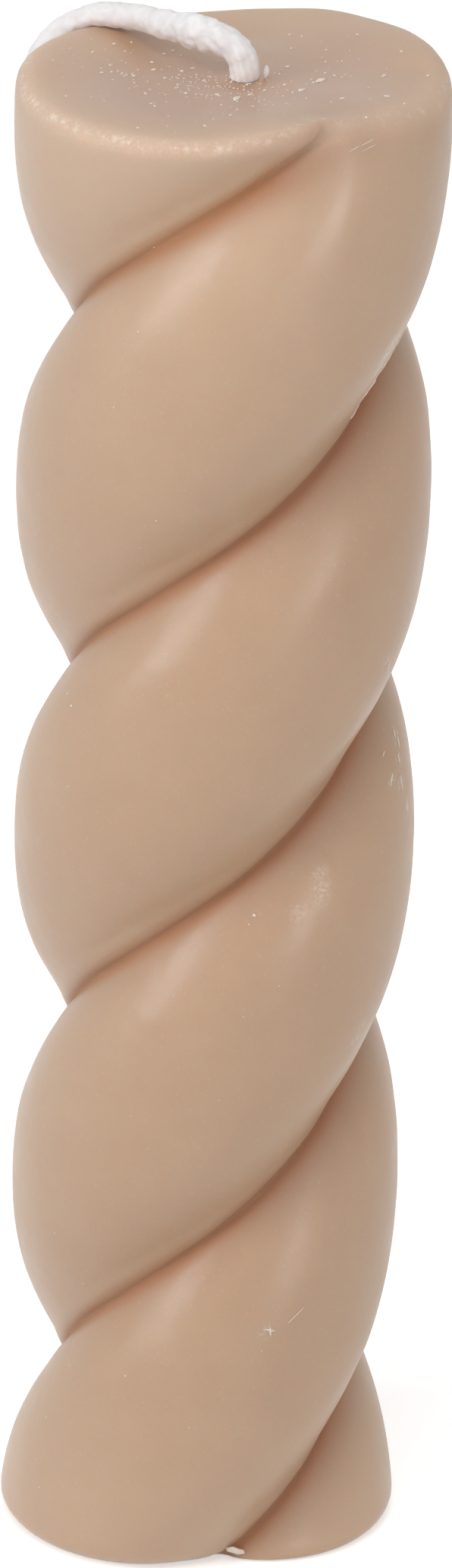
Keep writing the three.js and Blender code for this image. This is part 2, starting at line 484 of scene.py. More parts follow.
def roughen_cast(wax):
    """Makes the wax slightly uneven, as a cast is, but not at its flat foot or at the wick."""
    bpy.ops.object.mode_set(mode="OBJECT")
    sides = wax.vertex_groups.new(name="uneven")
    for v in wax.data.vertices:
        share = ramp(from_wick(v.co), 3 * MM, 8 * MM) * ramp(v.co.z, 1 * MM, 9 * MM)
        if share:
            sides.add([v.index], share, "REPLACE")
    for name, scale, height in CAST_WAVES:
        clouds = bpy.data.textures.new(name, "CLOUDS")
        clouds.noise_scale = scale
        waves = wax.modifiers.new(name, "DISPLACE")
        waves.texture = clouds
        waves.texture_coords = "LOCAL"
        waves.vertex_group = sides.name
        waves.mid_level = 0.5
        waves.strength = height
        finish_modifier(wax, waves)


def measure_creases(v, away, turn, share, below):
    """How much a corner shows of the painted shade in a crease's core and along its sides, and of the painted light in
    the strip below a notch in the rim.
    """
    beside = away * math.cos(turn - CREASE_SHIFT)
    outside = away * abs(math.sin(turn - CREASE_SHIFT)) - CREASE_RADIUS * share
    from_crease = math.hypot(beside, outside)
    past_crease = -beside * math.copysign(1, math.sin(turn))
    on_lower_strand = ramp(past_crease, -0.5 * MM, 0.5 * MM)
    facing_up = ramp(v.normal.z, -0.2, 0.2)
    on_right = max(v.co.xy.normalized().x, 0)
    wider = CREASE_LEAST + CREASE_WIDER_UP * facing_up + CREASE_WIDER_RIGHT * on_right
    notch_shade = 1 + NOTCH_WIDENING * on_lower_strand * fade(below, NOTCH_SHADE)
    under_lip = (1 - LIP_LOST_BELOW * on_lower_strand) * ramp(below, 0, 2 * MM)
    return {
        "crease_core_painted_shade": fade(from_crease, CREASE_CORE * wider * notch_shade) * ramp(below, 0.5 * MM, 5.5 * MM),
        "crease_side_painted_shade": fade(from_crease, CREASE_SIDES * wider),
        "lit_lip": under_lip * fade(from_crease, LIP_REACH) * fade(below, NOTCH_SHADE),
    }


def measure_rim(v, away, turn, share, below):
    """How much a corner shows of the rubbed rim and its painted highlight, of the painted light below the rim and at
    the foot, and of the top face, whose greyer tone is painted lighter towards the back.
    """
    lobe_x = (away * abs(math.cos(turn)) / share - LOBE_OFFSET) / LOBE_RADIAL
    lobe_y = away * math.sin(turn) / share / LOBE_TANGENTIAL
    inset = (1 - math.hypot(lobe_x, lobe_y)) * LOBE_RADIAL
    way = v.co.xy.normalized()
    worn_and_lit = RIM_WORN_AND_LIT + RIM_WORN_AND_LIT_MORE * way.dot(RIM_WORN_AND_LIT_WAY)
    from_rim = math.hypot(inset - RIM_INSET, below - RIM_INSET)
    painted_light_side = clamp(1.05 * way.dot(PAINTED_LIGHT_WAY) - 0.1) * ramp(below, 0, 3 * MM)
    # Painted light: the top face's greyer tone shows less towards the back.
    front = clamp(0.8 - v.co.y / (25 * MM), 0.3, 1)
    return {
        "near_rim": worn_and_lit * fade(from_rim, RIM_WEAR_AND_HIGHLIGHT),
        "rim_line": worn_and_lit * fade(from_rim, RIM_LINE),
        "painted_end_light": max(painted_light_side * fade(below, PAINTED_LIGHT_BELOW_RIM), PAINTED_LIGHT_FOOT_SHARE * fade(v.co.z, PAINTED_LIGHT_AT_FOOT)),
        "on_top": front * ramp(inset, 2 * MM, 7 * MM) if below < 2 * DISH_DEPTH else 0,
    }


def measure_wax(wax):
    """Notes at each corner, for the material, how near it is to a crease, to the rim, to the wick and so on."""
    tree = BVHTree.FromObject(wax, bpy.context.evaluated_depsgraph_get())
    patches = [(look_at_wax(tree, x, y)[0], radius * PIXEL) for x, y, radius in RUBBED_AND_HIGHLIT_PATCHES]
    wick_line, _ = follow_wick(0.5 * MM)
    notes = []
    for v in wax.data.vertices:
        height = min(v.co.z, BODY_HEIGHT)
        away = math.hypot(v.co.x, v.co.y)
        turn = math.atan2(v.co.y, v.co.x) - lobe_direction(height)
        place = (v, away, turn, width_share(height), BODY_HEIGHT - v.co.z)
        # How far the wick is, for its painted shadow on the wax.
        beyond_wick = np.linalg.norm(wick_line - np.array(v.co), axis=1).min() - WICK_DIAMETER / 2
        notes.append({
            **measure_creases(*place),
            **measure_rim(*place),
            "rubbed_and_highlit": sum(fade((v.co - middle).length, radius) for middle, radius in patches),
            "wick_painted_shadow": fade(max(beyond_wick, 0), WICK_PAINTED_SHADOW),
        })
    for name in notes[0]:
        values = [note[name] for note in notes]
        wax.data.attributes.new(name, "FLOAT", "POINT").data.foreach_set("value", values)


def make_casting():
    wax = draw_section()
    raise_column(wax)
    cut_rows(wax)
    widen_ends(wax)
    twist_column(wax)
    soften_notches(wax)
    open_ends_for_wick(wax)
    sink_dish(wax)
    bpy.ops.mesh.select_all(action="SELECT")
    bpy.ops.mesh.normals_make_consistent(inside=False)
    bpy.ops.object.mode_set(mode="OBJECT")
    measure_wax(wax)
    unlevel_rim(wax)
    roughen_cast(wax)
    bpy.ops.object.shade_smooth_by_angle(angle=math.radians(50))
    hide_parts("wax_body")
    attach(wax, "root")
    return wax


# The wick

# The route of the wick's free end, in millimetres, as the part's source has it: up out of the wax, over to the
# rear left rim, and down behind it.
WICK_ROUTE = [
    (0.9, 0, 149.5),
    (0.9, 0, 150.4),
    (0.6, 0.1, 151.6),
    (-0.3, 0.45, 152.6),
    (-1.6, 1, 153.05),
    (-3.2, 1.9, 153.1),
    (-4.9, 3.3, 152.95),
    (-6.6, 5, 152.7),
    (-8.2, 6.8, 152.4),
    (-9.7, 8.3, 152.1),
    (-11.1, 9.4, 151.9),
    (-12.4, 10.2, 151.7),
    (-13.6, 10.95, 151.3),
    (-14.7, 11.7, 150.5),
    (-15.7, 12.3, 149.4),
    (-16.5, 12.6, 148.1),
    (-17.2, 12.7, 146.7),
    (-17.8, 12.6, 145.2),
    (-18.2, 12.4, 143.7),
    (-18.5, 12.1, 142.2),
    (-18.7, 11.8, 140.7),
]
# How thick the wick is along its length: millimetres from the wax, and a share of its diameter.
WICK_SWELLING = [
    (0, 1.02), (1.5, 1.04), (3, 1.08), (4.5, 1.16), (8, 1.18), (9.5, 1), (13, 0.94), (30, 0.94), (34, 0.9),
]
# Where the wick bends it is pressed out of round. Each entry says how far along the wick, how far to either side of
# that, how much the wick stands out there, all in millimetres, and on which side.
WICK_PRESSINGS = [(3.4, 1.6, -0.25, (0.8, 0, 0.6)), (21, 4, -0.45, (-0.6, 0, 0.8)), (28, 4, 1, (-1, 0, -0.1))]
# How much each kind of relief stands out on the wick, in millimetres.
STRANDS_HEIGHT = 0.1
FOLDS_HEIGHT = 0.14
BEND_FOLDS_HEIGHT = 0.4
LUMPS_HEIGHT = 0.14
RAGGED_HEIGHT = 0.07
BRAID_HEIGHT = 0.04


def follow_wick(spacing):
    """Points along the wick at even spacing, on the centripetal curve through its route."""
    knots = np.array(WICK_ROUTE) * MM
    knots = np.vstack([2 * knots[0] - knots[1], knots, 2 * knots[-1] - knots[-2]])
    share = np.linspace(0, 1, 20, endpoint=False)[:, None]
    fine = []
    for before, start, end, after in zip(knots, knots[1:], knots[2:], knots[3:]):
        gaps = [np.linalg.norm(q - p) ** 0.5 for p, q in ((before, start), (start, end), (end, after))]
        leave = (start - before) / gaps[0] - (end - before) / (gaps[0] + gaps[1]) + (end - start) / gaps[1]
        arrive = (end - start) / gaps[1] - (after - start) / (gaps[1] + gaps[2]) + (after - end) / gaps[2]
        leave, arrive = leave * gaps[1], arrive * gaps[1]
        fine.append(
            (2 * share**3 - 3 * share**2 + 1) * start
            + (share**3 - 2 * share**2 + share) * leave
            + (3 * share**2 - 2 * share**3) * end
            + (share**3 - share**2) * arrive
        )
    fine = np.vstack([*fine, knots[-2:-1]])
    reach = np.concatenate([[0], np.cumsum(np.linalg.norm(np.diff(fine, axis=0), axis=1))])
    even = np.linspace(0, reach[-1], round(reach[-1] / spacing) + 1)
    return np.column_stack([np.interp(even, reach, fine[:, k]) for k in range(3)]), even


def braid_relief(along, around):
    """How far a strand stands out, 0 to 1, at a place along the wick and round it: strands cross over and under."""
    strands = 4
    lay = 7 * MM
    one_way = strands * (around / (2 * math.pi) + along / lay)
    other_way = strands * (around / (2 * math.pi) - along / lay)
    on_top = (math.floor(one_way) + math.floor(other_way)) % 2 == 0
    across = (one_way if on_top else other_way) % 1
    onward = (other_way if on_top else one_way) % 1
    return math.sin(math.pi * across) ** 0.7 * (0.6 + 0.4 * math.sin(math.pi * onward))


def wick_relief(place, along, around):
    """Height of the wick's surface, in metres: fine strands at its foot, folds where it bends, soft lumps beyond."""
    at_foot = fade(along, 3 * MM)
    at_bend = fade(along - 6 * MM, 4 * MM)
    strands = abs(math.sin(6.5 * around + 1.5 * math.sin(along / MM))) - 0.6
    nearest, second = noise.voronoi(place / (2.1 * MM))[0][:2]
    folds = min(second - nearest, 0.5) - 0.2
    lumps = noise.noise(place / (2.6 * MM))
    ragged = noise.noise(place / (0.7 * MM))
    braid = braid_relief(along, around) - 0.6
    height = STRANDS_HEIGHT * at_foot * strands + (FOLDS_HEIGHT + BEND_FOLDS_HEIGHT * at_bend) * folds
    height += LUMPS_HEIGHT * lumps + RAGGED_HEIGHT * ragged + BRAID_HEIGHT * braid
    return height * MM


def make_wick():
    """The free end of the wick: a braid under a thin coat of wax, lumpy where it is bent."""
    line, reach = follow_wick(WICK_RING_SPACING)
    ahead = np.gradient(line, axis=0)
    ahead /= np.linalg.norm(ahead, axis=1)[:, None]
    side = np.cross(ahead[0], (0, 1, 0))
    corners, faces, painted_shade_between_strands, at_wax = [], [], [], []
    for ring, (middle, forward, length) in enumerate(zip(line, ahead, reach)):
        side = side - forward * side.dot(forward)
        side /= np.linalg.norm(side)
        over = np.cross(forward, side)
        swelling = np.interp(length / MM, *zip(*WICK_SWELLING))
        radius = WICK_DIAMETER / 2 * swelling
        for k in range(WICK_SIDES):
            around = 2 * math.pi * k / WICK_SIDES
            outward = side * math.cos(around) + over * math.sin(around)
            relief = wick_relief(Vector(middle + outward * radius), length, around)
            # Painted shade between the strands: how far down between them a place lies.
            painted_shade_between_strands.append(ramp(relief, 0.125 * MM, -0.125 * MM))
            for pressed_at, to_each_side, amount, way in WICK_PRESSINGS:
                share = fade(length / MM - pressed_at, to_each_side)
                relief += amount * MM * share * max(Vector(outward).dot(Vector(way).normalized()), 0)
            corners.append(middle + outward * (radius + relief))
            at_wax.append(math.exp(-length / (1.5 * MM)))
            if ring:
                here, there = ring * WICK_SIDES + k, ring * WICK_SIDES + (k + 1) % WICK_SIDES
                faces.append((here - WICK_SIDES, there - WICK_SIDES, there, here))
    foot, tip = len(corners), len(corners) + 1
    corners += [line[0], line[-1] + ahead[-1] * 0.3 * MM]
    painted_shade_between_strands += [0, 0]
    at_wax += [1, 0]
    end_ring = (len(line) - 1) * WICK_SIDES
    for k in range(WICK_SIDES):
        following = (k + 1) % WICK_SIDES
        faces.append((foot, following, k))
        faces.append((tip, end_ring + k, end_ring + following))
    mesh = bpy.data.meshes.new("wick_braid")
    mesh.from_pydata([tuple(c) for c in corners], [], faces)
    mesh.shade_smooth()
    for name, values in (("painted_shade_between_strands", painted_shade_between_strands), ("at_wax", at_wax)):
        mesh.attributes.new(name, "FLOAT", "POINT").data.foreach_set("value", values)
    wick = bpy.data.objects.new("wick_braid", mesh)
    bpy.context.scene.collection.objects.link(wick)
    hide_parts("wick_free_end")
    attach(wick, "root")
    return wick


# Crumbs, scrapes and flash

# Crumbs of wax on the top face that the photograph shows: the middle of each and half of its length, in pixels.
TOP_CRUMBS = [
    (134, 96, 3, 0), (147, 95, 2, 0), (122, 69, 2, -1), (150, 58, 3, 0), (173, 56, 2, 0), (202, 92, 4, -1),
    (254, 90, 4, 0), (228, 67, 4, 0), (217, 103, 3, 0), (239, 94, 3, 1), (259, 99, 2, 0), (245, 123, 3, 0),
    (286, 125, 4, 1), (311, 130, 3, -3), (329, 125, 3, -1), (270, 166, 2, 1), (192, 124, 2, 0), (204, 140, 2, 1),
    (87, 127, 1, 1), (176, 100, 3, 0), (145, 86, 2, 0), (200, 82, 3, 0), (216, 71, 3, 0), (234, 112, 2, 0),
    (269, 107, 2, 1), (382, 46, 2, 0), (398, 48, 2, 0), (471, 46, 2, -1), (430, 66, 2, 0), (384, 64, 2, 0),
    (529, 68, 2, -1), (379, 88, 4, -1), (368, 98, 2, 0), (429, 82, 2, 0), (451, 81, 2, 0), (441, 100, 2, 1),
    (506, 100, 3, -2), (510, 91, 1, 0), (564, 100, 3, 0), (413, 109, 2, -1), (422, 106, 7, -3), (375, 112, 3, 0),
    (397, 119, 4, -2), (386, 122, 2, 0), (451, 130, 5, 0), (510, 127, 5, 1), (533, 137, 2, 0), (483, 155, 2, 0),
    (182, 169, 1, 1), (304, 152, 2, -1), (317, 153, 1, 0), (222, 153, 1, 0),
]
# The small crumbs between them: how many, the middle of their heap in millimetres, and how widely every second one
# and the others are strewn about it, in millimetres too.
SMALL_CRUMBS = 300
CRUMB_MIDDLE = (-2.5, -1)
CRUMB_SPREADS = ((8, 5), (3.5, 2.2))
# Specks on the sides: the middle of each and its size, in pixels.
SIDE_SPECKS = [
    (150, 537, 2.5), (206, 686, 3.5), (184, 722, 2), (48, 703, 2.5), (182, 437, 3), (94, 930, 5), (89, 914, 4),
    (90, 1036, 2.5), (221, 917, 2), (335, 1206, 5), (328, 1218, 2.5), (321, 1340, 2.5), (368, 1299, 2.5),
    (345, 1780, 2), (92, 1799, 3), (165, 1813, 3), (61, 1867, 3), (47, 1923, 2.5), (52, 1960, 3), (110, 1691, 3),
    (249, 1881, 2.5), (289, 1450, 2), (367, 217, 3), (203, 326, 3), (72, 1625, 3),
]
# Scrapes: where each starts and ends, and its width, in pixels.
SCRAPES = [
    ((458, 201), (476, 191), 1.2), ((474, 193), (495, 182), 1.1), ((474, 201), (498, 189), 1),
    ((518, 958), (521, 975), 2.6), ((523, 966), (527, 988), 3), ((524, 990), (527, 1008), 2.4),
    ((504, 998), (507, 988), 2.2), ((514, 1038), (518, 1016), 2.6), ((527, 1018), (531, 1045), 2),
    ((536, 1050), (536, 1073), 2), ((348, 1751), (364, 1754), 3), ((356, 1747), (357, 1762), 2.6),
    ((376, 1747), (404, 1719), 1.2), ((509, 890), (515, 866), 2),
]
SLIVER_FOOT_PIXEL = (350, 104)
SLIVER_HEIGHT = 1.5 * MM
BASE_LUMP_PIXELS = ((296, 2039), (325, 2046))
# The mould's joint shows as thin flash along the edges of the strands: where each stretch runs, in pixels.
FLASH_STRETCHES = [
    [(540, 428), (516, 484), (501, 506), (467, 556)],
    [(520, 880), (500, 925), (467, 981), (435, 1030), (404, 1075), (369, 1100), (344, 1128), (293, 1170)],
    [(497, 1340), (463, 1413), (430, 1468), (360, 1548)],
    [(488, 1772), (462, 1828), (425, 1890)],
]
FLASH_SPACING = 4  # pixels from one point of the flash to the next
FLASH_RADIUS = 0.1 * MM
FLASH_LEAST = 0.03 * MM  # the flash breaks off where it would be thinner than this
EDGE_SEARCH = 16  # how far to either side the edge of a strand is looked for, in pixels
EDGE_STEP = 0.5 * MM  # how far the wax behind the edge of a strand lies from it at least
CHIP_SPLIT = 0.34  # how far from its middle a chip is split, as a share of its length


def chip_shapes():
    """Three rough chips, a metre long before each is laid: a small ball, jolted and split along flat faces."""
    chips = []
    for seed in (1, 2, 3):
        chip = start_piece(f"chip_{seed}", bpy.ops.mesh.primitive_ico_sphere_add, subdivisions=1, radius=0.5)
        bpy.ops.object.mode_set(mode="EDIT")
        bpy.ops.transform.vertex_random(offset=0.1, seed=seed)
        for split in ((1, 0.5, 0.2), (-0.6, 1, 0.3)):
            direction = Vector(split).normalized()
            bpy.ops.mesh.select_all(action="SELECT")
            split_at = direction * CHIP_SPLIT
            bpy.ops.mesh.bisect(plane_co=split_at, plane_no=direction, use_fill=True, clear_outer=True)
        bpy.ops.object.mode_set(mode="OBJECT")
        chips.append(chip)
    return chips


def lay_chip(chip, start, end, width, thickness, normal, sunk=0.25):
    """A copy of a chip that lies on the wax from start to end, sunk into it by a share of its thickness."""
    along = end - start
    across = normal.cross(along).normalized() * width
    outward = along.cross(across).normalized() * thickness
    middle = (start + end) / 2 + outward * (CHIP_SPLIT - sunk)
    copy = bpy.data.objects.new(chip.name, chip.data.copy())
    copy.data.transform(Matrix.Translation(middle) @ Matrix((along, across, outward)).transposed().to_4x4())
    bpy.context.scene.collection.objects.link(copy)
    return copy


def join_as(name, parts):
    """Makes one piece of many parts."""
    bpy.ops.object.select_all(action="DESELECT")
    for part in parts:
        part.select_set(True)
    bpy.context.view_layer.objects.active = parts[0]
    bpy.ops.object.join()
    piece = bpy.context.object
    piece.name = piece.data.name = name
    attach(piece, "root")
    return piece


def make_crumbs(tree, chips):
    """Crumbs on the top face, most of them round the wick's foot."""
    draw = random.Random(7)
    parts = []
    for x, y, half_x, half_y in TOP_CRUMBS:
        start, normal = look_at_wax(tree, x - half_x, y - half_y)
        end, _ = look_at_wax(tree, x + half_x, y + half_y)
        width = max(0.5 * (end - start).length, draw.uniform(3.5, 6) * PIXEL)
        parts.append(lay_chip(draw.choice(chips), start, end, width, 3 * PIXEL, normal))
    small = SMALL_CRUMBS
    while small:
        x, y = (draw.gauss(middle, spread) * MM for middle, spread in zip(CRUMB_MIDDLE, CRUMB_SPREADS[small % 2]))
        place, normal, _, _ = tree.ray_cast(Vector((x, y, BODY_HEIGHT + 1)), Vector((0, 0, -1)))
        clear = from_wick(Vector((x, y, 0))) > WICK_DIAMETER / 2
        if place and place.z > WICK_FOOT.z - 0.1 * MM and clear:
            turn = draw.uniform(0, math.pi)
            size = draw.uniform(0.1, 0.34) * MM
            half = Vector((math.cos(turn), math.sin(turn), 0)) * size / 2
            width = size * draw.uniform(0.5, 0.9)
            parts.append(lay_chip(draw.choice(chips), place - half, place + half, width, size * 0.5, normal))
            small -= 1
    return join_as("wax_crumbs", parts)


def make_sliver(tree, chips):
    """The white sliver that stands beside the wick's foot."""
    foot, _ = look_at_wax(tree, *SLIVER_FOOT_PIXEL)
    tip = foot + Vector((0.15 * MM, 0, SLIVER_HEIGHT))
    sliver = lay_chip(chips[0], foot, tip, 0.6 * MM, 0.4 * MM, Vector((0, 1, 0)), sunk=CHIP_SPLIT)
    return join_as("wick_sliver", [sliver])


def make_marks(tree, chips):
    """Specks and scrapes on the sides, and the bit of loose wax in the notch at the foot."""
    draw = random.Random(3)
    parts = []
    for x, y, size in SIDE_SPECKS:
        place, normal = look_at_wax(tree, x, y)
        half = normal.cross(Vector((draw.uniform(-1, 1), 0, 1))).normalized() * size * PIXEL / 2
        width = 0.8 * size * PIXEL
        parts.append(lay_chip(draw.choice(chips), place - half, place + half, width, 1 * PIXEL, normal))
    for (x0, y0), (x1, y1), width in SCRAPES:
        start, normal = look_at_wax(tree, x0, y0)
        end, _ = look_at_wax(tree, x1, y1)
        parts.append(lay_chip(draw.choice(chips), start, end, width * PIXEL, 2 * PIXEL, normal, sunk=0.15))
    start, normal = look_at_wax(tree, *BASE_LUMP_PIXELS[0])
    end, _ = look_at_wax(tree, *BASE_LUMP_PIXELS[1])
    parts.append(lay_chip(chips[1], start, end, 0.8 * MM, 0.6 * MM, normal))
    return join_as("wax_marks", parts)


def make_thread(name, routes):
    """Thin uneven ridges, one along each route, which is a list of points, each with its radius."""
    piece = start_piece(name, bpy.ops.mesh.primitive_plane_add, size=1 * MM)
    bpy.ops.object.mode_set(mode="EDIT")
    bpy.ops.mesh.delete(type="VERT")
    for route in routes:
        bpy.ops.mesh.select_all(action="DESELECT")
        bpy.ops.mesh.primitive_plane_add(size=1 * MM, location=route[0][0])
        bpy.ops.mesh.merge(type="CENTER")
        for (here, _), (there, _) in zip(route, route[1:]):
            bpy.ops.mesh.extrude_region_move(TRANSFORM_OT_translate={"value": there - here})
    bpy.ops.object.mode_set(mode="OBJECT")
    skin = piece.modifiers.new("skin", "SKIN")
    points = [point for route in routes for point in route]
    for corner, thickness in zip(piece.data.vertices, piece.data.skin_vertices[0].data):
        radius = min(points, key=lambda point: (point[0] - corner.co).length_squared)[1]
        thickness.radius = (radius, radius)
    finish_modifier(piece, skin)
    rounding = piece.modifiers.new("rounding", "SUBSURF")
    rounding.levels = rounding.render_levels = 1
    finish_modifier(piece, rounding)
    bpy.ops.object.shade_smooth()
    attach(piece, "root")
    return piece


def strand_edge(tree, x, y):
    """The place near a pixel where the strand in front ends and the one behind it shows, just within the edge."""
    hits = [look_at_wax(tree, x + shift, y)[0] for shift in range(-EDGE_SEARCH, EDGE_SEARCH + 1)]
    pairs = [(inner, outer) for inner, outer in zip(hits, hits[1:]) if inner and outer and inner.y < outer.y]
    inner, outer = max(pairs, key=lambda pair: (pair[1] - pair[0]).length)
    return inner if (outer - inner).length > EDGE_STEP else None


def make_flash(tree):
    """The thin ragged flash along the edges of the strands, where the mould's halves met, and that at the back."""
    routes = []
    for waypoints in FLASH_STRETCHES:
        edge = []
        for (x0, y0), (x1, y1) in zip(waypoints, waypoints[1:]):
            rows = round((y1 - y0) / FLASH_SPACING)
            edge += [strand_edge(tree, x0 + (x1 - x0) * i / rows, y0 + (y1 - y0) * i / rows) for i in range(rows)]
        for turned in (0, math.pi):
            route = []
            for place in edge:
                if place:
                    place = tree.find_nearest(Matrix.Rotation(turned, 3, "Z") @ place)[0]
                    ragged = noise.noise(place / (1.3 * MM)) + 0.5 * noise.noise(place / (0.4 * MM))
                    ridge = FLASH_RADIUS * (1 + ragged)
                if place and ridge > FLASH_LEAST:
                    route.append((place, ridge))
                elif route:
                    routes.append(route)
                    route = []
            routes.append(route)
    return make_thread("seam_flash", [route for route in routes if len(route) > 2])


# Materials

# Where the wax changes its tone: the note that measure_wax left there, how much of the tone shows, and the tone.
# The top face is greyer; the rest is painted light and shade: light below the rim and at the foot, the wick's
# shadow, shade in the creases, and light through the lip below each notch.
WAX_TINTS = [
    ("painted_end_light", 0.5, (223, 196, 170)),
    ("on_top", 0.65, (190, 160, 146)),
    ("wick_painted_shadow", 0.6, (190, 148, 118)),
    ("crease_side_painted_shade", 0.45, (164, 124, 98)),
    ("crease_core_painted_shade", 0.8, (182, 124, 86)),
    ("lit_lip", 0.75, (222, 164, 112)),
]
WAX_GLOSS = 0.32
# How far the wax's roughness goes below and above that. Where it gets under 0.28, denoised renders show hard-edged
# patches.
GLOSS_UNEVENNESS = (-0.02, 0.08)
CREASE_ROUGHER = 0.4
RIM_ROUGHER = 0.25
RIM_TOOTH = 0.006
WAX_SCATTERING = 1.4 * MM
COTTON_SCATTERING = 0.6 * MM


def linear(red, green, blue):
    """A colour written as 0 to 255, in the values that a shader takes."""
    def one(value):
        share = value / 255
        return share / 12.92 if share <= 0.04045 else ((share + 0.055) / 1.055) ** 2.4
    return one(red), one(green), one(blue), 1


def new_material(name):
    """A new material, its node tree and its shader."""
    material = bpy.data.materials.new(name)
    material.use_nodes = True
    return material, material.node_tree, material.node_tree.nodes["Principled BSDF"]


def new_group(name, inputs, outputs):
    """An empty shader node group. Its sockets are (name, kind) pairs, where kind is Float, Color or Vector."""
    group = bpy.data.node_groups.new(name, "ShaderNodeTree")
    for sockets, way in ((inputs, "INPUT"), (outputs, "OUTPUT")):
        for label, kind in sockets:
            group.interface.new_socket(name=label, in_out=way, socket_type="NodeSocket" + kind)
    return group, group.nodes.new("NodeGroupInput"), group.nodes.new("NodeGroupOutput")


def put(tree, kind, **inputs):
    """Adds a node, and gives each named input a value or a link."""
    node = tree.nodes.new(kind)
    for label, value in inputs.items():
        feed(tree, node.inputs[label.replace("_", " ")], value)
    return node


def feed(tree, socket, value):
    if isinstance(value, bpy.types.NodeSocket):
        tree.links.new(value, socket)
    else:
        socket.default_value = value


def math_node(tree, operation, *values):
    node = tree.nodes.new("ShaderNodeMath")
    node.operation = operation
    for socket, value in zip(node.inputs, values):
        feed(tree, socket, value)
    return node.outputs[0]


def blend_colours(tree, share, first, second):
    """One colour changing into another."""
    node = tree.nodes.new("ShaderNodeMix")
    node.data_type = "RGBA"
    feed(tree, node.inputs["Factor"], share)
    feed(tree, node.inputs["A"], first)
    feed(tree, node.inputs["B"], second)
    return node.outputs["Result"]


def tint(tree, colour, share, amount, tone):
    """A colour with another tone laid over it, by the share times the amount."""
    return blend_colours(tree, math_node(tree, "MULTIPLY", share, amount), colour, linear(*tone))


def add_up(tree, *patterns):
    """The sum of several patterns, each times the amount that stands with it."""
    total = 0
    for pattern, amount in patterns:
        total = math_node(tree, "MULTIPLY_ADD", pattern, amount, total)
    return total


def cloud(tree, place, size, detail=2, roughness=0.5):
    """A noise pattern whose blotches are about size metres across."""
    node = put(tree, "ShaderNodeTexNoise", Vector=place, Scale=1 / size, Detail=detail, Roughness=roughness)
    return node.outputs["Fac"]


def stretch_range(tree, value, low, high, to_low=0.0, to_high=1.0):
    node = put(tree, "ShaderNodeMapRange", Value=value)
    node.inputs["From Min"].default_value = low
    node.inputs["From Max"].default_value = high
    node.inputs["To Min"].default_value = to_low
    node.inputs["To Max"].default_value = to_high
    return node.outputs["Result"]


def attribute(tree, name):
    node = tree.nodes.new("ShaderNodeAttribute")
    node.attribute_name = name
    return node.outputs["Fac"]


def wax_surface():
    """Cast wax: cloudy in colour, with pale grains, uneven gloss, shallow waves and a fine tooth."""
    group, given, out = new_group(
        "cast wax surface",
        [(tone, "Color") for tone in ("Tone", "Deep Tone", "Pale Tone")] + [("Grain Share", "Float"), ("Gloss", "Float")],
        [("Color", "Color"), ("Roughness", "Float"), ("Height", "Float")],
    )
    place = put(group, "ShaderNodeTexCoord").outputs["Object"]
    broad = cloud(group, place, 26 * MM)
    blotch = cloud(group, place, 5 * MM, detail=4, roughness=0.6)
    waves = cloud(group, place, 2.6 * MM, detail=1)
    fine = cloud(group, place, 0.32 * MM, detail=3, roughness=0.6)
    tooth = cloud(group, place, 0.18 * MM, detail=1)
    cloudy = stretch_range(group, add_up(group, (broad, 0.6), (blotch, 0.4)), 0.3, 0.7)
    colour = blend_colours(group, cloudy, given.outputs["Deep Tone"], given.outputs["Tone"])
    grains = math_node(group, "MULTIPLY", stretch_range(group, fine, 0.6, 0.74), given.outputs["Grain Share"])
    feed(group, out.inputs["Color"], blend_colours(group, grains, colour, given.outputs["Pale Tone"]))
    uneven_gloss = stretch_range(group, blotch, 0.35, 0.65, *GLOSS_UNEVENNESS)
    feed(group, out.inputs["Roughness"], math_node(group, "ADD", given.outputs["Gloss"], uneven_gloss))
    feed(group, out.inputs["Height"], add_up(group, (waves, 0.07), (fine, 0.012), (tooth, 0.004)))
    return group


def place_group(tree, group, **inputs):
    """Places a node group, and gives each named input a value or a link."""
    node = tree.nodes.new("ShaderNodeGroup")
    node.node_tree = group
    for label, value in inputs.items():
        feed(tree, node.inputs[label.replace("_", " ")], value)
    return node


def bump_by(tree, height):
    """A normal from a height counted in millimetres."""
    return put(tree, "ShaderNodeBump", Height=height, Distance=1 * MM).outputs["Normal"]


def let_light_in(shader, depth, of_each_colour):
    """Lets light scatter inside, to the depth given for red, and to a share of it for each colour."""
    shader.inputs["Subsurface Weight"].default_value = 1
    shader.inputs["Subsurface Radius"].default_value = of_each_colour
    shader.inputs["Subsurface Scale"].default_value = depth


